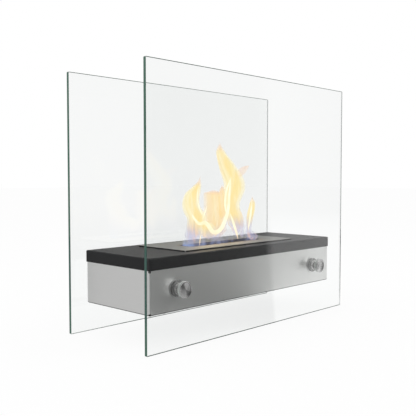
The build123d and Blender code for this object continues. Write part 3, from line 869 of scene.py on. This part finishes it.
# %% [markdown]
# A flame is clear gas with a little glowing soot, so its light must not wash out the
# pane behind it. The panes, a hand's width away, show it as a faint warm image, and get
# a little less of its light than the camera does. Steel within a few centimetres gets
# more, which gives the burner plate most of its warm strip. That part leaves with the
# flame when the damper closes, and the faint painted light on the plate stays. A lamp in
# the slot would light the plate too, but would stay lit.

# %% Light of the flame
mirrored_gain = -0.3
nearby_gain = 1.0
near_reach = 100 * millimetre
far_reach = 140 * millimetre


def glowing(fire, glow_colour, strength, alpha):
    """A surface that gives off light and mirrors none."""
    ray_length = fire.node("ShaderNodeLightPath", output="Ray Length")
    nearby = ray_length.fall(near_reach, far_reach)
    gain = 1 + light_path(fire, "Glossy") * (mirrored_gain + nearby * nearby_gain)
    scale = {0: glow_colour, "Scale": gain}
    sockets = {
        "Base Color": grey(0.0),
        "Roughness": 1.0,
        "Specular IOR Level": 0.0,
        "Emission Color": fire.node("ShaderNodeVectorMath", {"operation": "SCALE"}, scale),
        "Emission Strength": strength,
        "Alpha": alpha.most(0.0).least(1.0),
    }
    fire.show(fire.node("ShaderNodeBsdfPrincipled", sockets=sockets))


def stored(fire, name):
    """A number that is kept on the points of the piece."""
    return fire.node("ShaderNodeAttribute", {"attribute_name": name}, output="Fac")


print("near glow ends at", far_reach, "m")

# %% Flame finish
lilac = (0.46, 0.45, 0.72)
peach = (0.98, 0.60, 0.36)
yellow = (1.0, 0.82, 0.34)
orange = (1.0, 0.72, 0.32)
near_white = (1.0, 0.97, 0.76)
dusky_pink = (0.84, 0.58, 0.50)
haze_top = 226 * millimetre
haze_bottom = 182 * millimetre
bowl_middle_x = -38 * millimetre
bowl_half_width = 62 * millimetre
bowl_sag = 20 * millimetre
skin_strength = 1.08


def flame_finish(name, core, edge, body_alpha, rim_alpha, tip_start, orange_share=1.0):
    """A glowing skin: hazy at its foot, streaky inside and soft towards its sides and tip."""
    material, fire = new_material(name)
    rise = stored(fire, "rise")
    x, y, z = fire.here()
    licks = fire.grain(24.0, stretch=(1.0, 1.0, 0.45), detail=3.0)
    streaks = fire.grain(70.0, stretch=(1.0, 1.0, 0.20), detail=3.0)
    off_middle = abs(stored(fire, "side") + (licks - 0.5) * 0.45)
    rim = off_middle.step(0.22, 0.66)
    soft_side = off_middle.fall(0.66, 0.97)
    bowl = abs(x - bowl_middle_x).fall(bowl_half_width / 2, bowl_half_width)
    hot = (z + bowl * bowl_sag).step(haze_bottom, haze_top)
    inner = fire.mix(licks.step(0.38, 0.62) * orange_share, colour(*core), colour(*orange))
    inner = fire.mix(streaks.step(0.50, 0.72) * 0.45, inner, colour(*near_white))
    skin = fire.mix(rim, inner, colour(*edge))
    skin = fire.mix(rise.step(tip_start, 0.96) * 0.9, skin, colour(*peach))
    haze = fire.mix(streaks.step(0.45, 0.62), colour(*lilac), colour(*dusky_pink))
    skin = fire.mix(1 - hot, skin, haze)
    alpha = body_alpha + rim * (rim_alpha - body_alpha) + (streaks - 0.5) * 0.45
    low_haze = 0.28 + streaks.step(0.38, 0.62) * 0.46
    clear_foot = low_haze + hot * (1 - low_haze)
    fade = rise.fall(0.80, 0.99) * clear_foot * rise.step(0.0, 0.10)
    glowing(fire, skin, skin_strength, alpha * soft_side * fade)
    return material


tongue_finish = flame_finish(
    "flame_tongue", yellow, (1.0, 0.90, 0.58), 0.84, 0.72, 0.82, orange_share=0.4
)
spur_finish = flame_finish(
    "flame_spur", peach, (1.0, 0.72, 0.52), 0.34, 0.22, 0.40
)
sheet_finish = flame_finish(
    "flame_sheet", (1.0, 0.76, 0.36), (1.0, 0.78, 0.48), 0.70, 0.42, 0.72
)
print("flame finishes:", tongue_finish.name, spur_finish.name, sheet_finish.name)

# %% [markdown]
# Each tongue below has its finish, its thickness as a share of its width, its curl and
# wobble, how far back it stands, a seed, and its stations. The stations follow the
# outline of the real tongue from bottom to top, about 14 mm apart where it bends.

# %% Tongues
tongues = {
    "flame_left": (
        tongue_finish, 0.30, 0.10, 0.10, -6.0, 3,
        ((163, -88, 27), (178, -89, 24), (192, -86, 20), (206, -80, 22), (219, -77, 24),
         (231, -85, 24), (244, -93, 21), (257, -93, 20), (270, -87, 18), (281, -77, 11),
         (292, -70, 7), (309, -67, 2)),
    ),
    "flame_middle": (
        sheet_finish, 0.25, 0.05, 0.08, 11.0, 7,
        ((165, -22, 30), (181, -21, 29), (195, -21, 29), (208, -22, 31), (223, -25, 32),
         (242, -27, 30), (256, -29, 28), (265, -30, 26), (271, -30, 22), (276, -29, 8)),
    ),
    "flame_bowl": (
        tongue_finish, 0.30, 0.10, 0.10, -3.0, 41,
        ((172, -42, 8), (182, -44, 21), (191, -49, 27), (200, -56, 25), (208, -63, 18),
         (216, -70, 4)),
    ),
    "flame_spike": (
        sheet_finish, 0.45, 0.0, 0.10, 11.0, 9,
        ((212, -2, 8), (232, -4, 10), (250, -5, 9), (268, -4, 7), (288, -2, 2)),
    ),
    "flame_tall": (
        tongue_finish, 0.30, 0.15, 0.08, 3.0, 12,
        ((165, 42, 15), (180, 43, 17), (191, 46, 18), (205, 43, 21), (217, 37, 23),
         (231, 30, 24), (245, 28, 24), (259, 32, 27), (272, 37, 28), (286, 38, 27),
         (300, 32, 27), (312, 24, 26), (326, 13, 22), (339, 4, 18), (351, -4, 13),
         (361, -8, 10), (370, -9, 7), (377, -9, 2)),
    ),
    "flame_right": (
        tongue_finish, 0.55, 0.0, 0.12, -8.0, 21,
        ((160, 94, 20), (172, 93, 16), (184, 84, 8), (196, 86, 7), (211, 89, 8),
         (229, 94, 8), (247, 96, 6), (264, 94, 1)),
    ),
    "flame_small": (
        sheet_finish, 0.45, 0.0, 0.12, 11.0, 30,
        ((166, 64, 8), (178, 65, 7), (190, 64, 7), (204, 60, 8), (218, 55, 8),
         (242, 48, 2)),
    ),
    "flame_spur": (
        spur_finish, 0.5, 0.0, 0.10, 3.0, 34,
        ((298, 46, 6), (309, 54, 11), (317, 64, 12), (324, 75, 8), (328, 86, 2)),
    ),
}
flame_pieces = []
for name, (finish, thickness, curl, wobble, set_back, seed, stations) in tongues.items():
    tongue = flame_tongue(name, stations, thickness, curl, wobble, set_back, seed)
    tongue.data.materials.append(finish)
    flame_pieces.append(tongue)
print("tongues:", len(tongues))

# %% [markdown]
# The brightest lines in a flame are where a skin is seen edge on. A solid skin can't
# know that without asking where the camera is, so the main rims are pieces of their own:
# thin tapering threads along the same outlines, visible from every side.

# %% One rim
rim_shift = Vector((-15, -12, 0)) * millimetre
rim_sway = 3
weld_distance = 0.01 * millimetre


def flame_rim(name, points, widest, seed):
    """A tapering thread through (middle, height) points in millimetres."""
    sway = random.Random(seed)
    curve = bpy.data.curves.new(name, "CURVE")
    curve.dimensions = "3D"
    curve.bevel_depth = millimetre
    curve.bevel_resolution = 3
    curve.resolution_u = 10
    line = curve.splines.new("NURBS")
    line.points.add(len(points) - 1)
    for number, (middle, height) in enumerate(points):
        share = number / (len(points) - 1)
        along = middle * millimetre + rim_shift.x
        depth = slot_middle_y + rim_shift.y + sway.uniform(-rim_sway, rim_sway) * millimetre
        line.points[number].co = (along, depth, height * millimetre, 1.0)
        line.points[number].radius = 0.15 + widest * math.sin(math.pi * share) ** 0.7
    line.order_u = 4
    line.use_endpoint_u = True
    thread = bpy.data.objects.new(name, curve)
    scene.collection.objects.link(thread)
    mesh = bpy.data.meshes.new_from_object(thread)
    mesh.name = name
    bpy.data.objects.remove(thread)
    form = bmesh.new()
    form.from_mesh(mesh)
    bmesh.ops.remove_doubles(form, verts=form.verts, dist=weld_distance)
    open_ends = [edge for edge in form.edges if edge.is_boundary]
    bmesh.ops.holes_fill(form, edges=open_ends, sides=0)
    bmesh.ops.recalc_face_normals(form, faces=form.faces)
    form.to_mesh(mesh)
    form.free()
    rim = bpy.data.objects.new(name, mesh)
    scene.collection.objects.link(rim)
    return rim


print("rims stand", rim_shift.y, "m from the middle of the slot")

# %% Rim finish
low_rim_bottom = 168 * millimetre
low_rim_top = 196 * millimetre
rim_strength = 1.22
rim_material, rim_finish = new_material("flame_rim")
flicker = rim_finish.grain(45.0, detail=2.0)
x, y, z = rim_finish.here()
rim_glow = rim_finish.mix(flicker, colour(1.0, 0.90, 0.56), colour(1.0, 0.97, 0.80))
low_part = z.fall(low_rim_bottom, low_rim_top)
rim_glow = rim_finish.mix(low_part * 0.8, rim_glow, colour(1.0, 0.74, 0.52))
rim_alpha = 0.52 + flicker * 0.45 - low_part * 0.15
glowing(rim_finish, rim_glow, rim_strength, rim_alpha)
print("rim finish:", rim_material.name)

# %% Rims
rims = {
    "rim_fork": (2.4, (
        (-68, 208), (-59, 216), (-52, 228), (-48, 242),
    )),
    "rim_left_inner": (1.2, (
        (-72, 284), (-73, 268), (-72, 254), (-70, 240), (-62, 228), (-55, 218),
    )),
    "rim_bowl": (4.2, (
        (-94, 242), (-90, 230), (-83, 217), (-74, 209), (-64, 207), (-55, 211), (-47, 208),
        (-39, 199), (-31, 190), (-21, 186), (-11, 189), (-3, 196), (6, 208), (15, 224),
        (22, 241), (25, 262), (27, 283), (27, 300),
    )),
    "rim_inner": (2.0, (
        (12, 222), (8, 238), (8, 254), (12, 272), (20, 288), (26, 302),
    )),
    "rim_thin": (2.8, (
        (22, 226), (31, 210), (37, 196), (44, 182), (47, 168),
    )),
    "rim_right": (3.0, (
        (84, 184), (91, 208), (97, 230), (99, 252),
    )),
    "rim_root": (1.6, (
        (-60, 192), (-64, 176), (-68, 163),
    )),
}
for number, (name, (widest, points)) in enumerate(rims.items()):
    rim = flame_rim(name, points, widest, number)
    rim.data.materials.append(rim_material)
    flame_pieces.append(rim)
print("rims:", len(rims))

# %% [markdown]
# At the slot the fuel burns blue: a low, nearly clear veil. It is one closed skin as
# long as the slot, with a ragged top. It is lilac where it joins the tongues and deeper
# blue at the slot. It burns strongest at the slot's left end and is fainter towards the
# right, as in the photograph.

# %% Blue veil
veil_bottom = 153 * millimetre
veil_height = 46 * millimetre
veil_half_depth = 11 * millimetre
veil_length = 2 * slot_half_length - 4 * millimetre
veil_columns = 80
veil_rows = 16

veil_form = bmesh.new()
bmesh.ops.create_cube(veil_form, size=1.0)
cut_block(veil_form, 1.0, 0, veil_columns)
cut_block(veil_form, 1.0, 2, veil_rows)
veil_rise = veil_form.verts.layers.float.new("rise")
for vertex in veil_form.verts:
    share = vertex.co.z + 0.5
    along = vertex.co.x
    long_waves = noise.noise(Vector((along * 9, 0, 5)))
    short_waves = noise.noise(Vector((along * 27, 0, 2)))
    ragged = 0.70 + 0.45 * long_waves + 0.25 * short_waves
    fold = noise.noise(Vector((along * 12, share * 2, 9)))
    depth = 2 * vertex.co.y * (1 - 0.7 * share) + 0.35 * fold * share
    left_flare = 1 + 0.10 * min(1.0, max(0.0, share * 3 - 0.8)) * (along < 0)
    vertex[veil_rise] = share
    vertex.co.x = slot_middle_x + along * veil_length * (1 - 0.10 * share) * left_flare
    vertex.co.y = slot_middle_y + veil_half_depth * depth
    vertex.co.z = veil_bottom + share * veil_height * ragged
bmesh.ops.recalc_face_normals(veil_form, faces=veil_form.faces)
veil = piece_from(veil_form, "flame_veil")
print("veil faces:", len(veil.data.polygons))

# %% Veil finish
flare_start = 60 * millimetre
flare_full = 104 * millimetre
left_part_end = -20 * millimetre
right_part_start = 40 * millimetre
veil_fade_start = 100 * millimetre
veil_fade_end = 112 * millimetre
slot_blue = (0.10, 0.15, 0.42)
wisp_blue = (0.42, 0.55, 0.98)
top_lilac = (0.62, 0.64, 0.92)
flare_blue = (0.42, 0.56, 0.97)

veil_material, veil_finish = new_material("flame_veil")
rise = stored(veil_finish, "rise")
x, y, z = veil_finish.here()
wisps = veil_finish.grain(30.0, stretch=(1.0, 0.4, 0.4), detail=4.0)
streams = veil_finish.grain(90.0, stretch=(1.0, 0.3, 0.12), detail=2.0)
from_middle = x - slot_middle_x
end_flare = abs(from_middle).step(flare_start, flare_full)
blue = veil_finish.mix(wisps.step(0.35, 0.7), colour(*slot_blue), colour(*wisp_blue))
blue = veil_finish.mix(rise.step(0.10, 0.55), blue, colour(*top_lilac))
blue = veil_finish.mix(end_flare * rise.fall(0.3, 0.8), blue, colour(*flare_blue))
towards_right = from_middle.step(left_part_end, right_part_start)
strength = wisps.step(0.44, 0.64) * 0.40 + end_flare * (0.52 - towards_right * 0.42)
strength = strength + (streams - 0.5) * 0.60 - towards_right * 0.14
veil_alpha = strength * rise.fall(0.10, 0.90)
veil_alpha = veil_alpha * abs(from_middle).fall(veil_fade_start, veil_fade_end)
glowing(veil_finish, blue, 1.0, veil_alpha)
veil.data.materials.append(veil_material)
flame_pieces.append(veil)
print("veil finish:", veil_material.name)

# %% [markdown]
# The flame rides on the burner: each of its pieces is attached to the burner's body and
# gets a mesh of its own. As the damper closes, a real flame dies back to the wool under
# it: a flame has no stiff shape to keep.

# %% The flame follows the burner
for piece in flame_pieces:
    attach(piece, "burner")
    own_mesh(piece)
print("flame pieces:", len(flame_pieces))
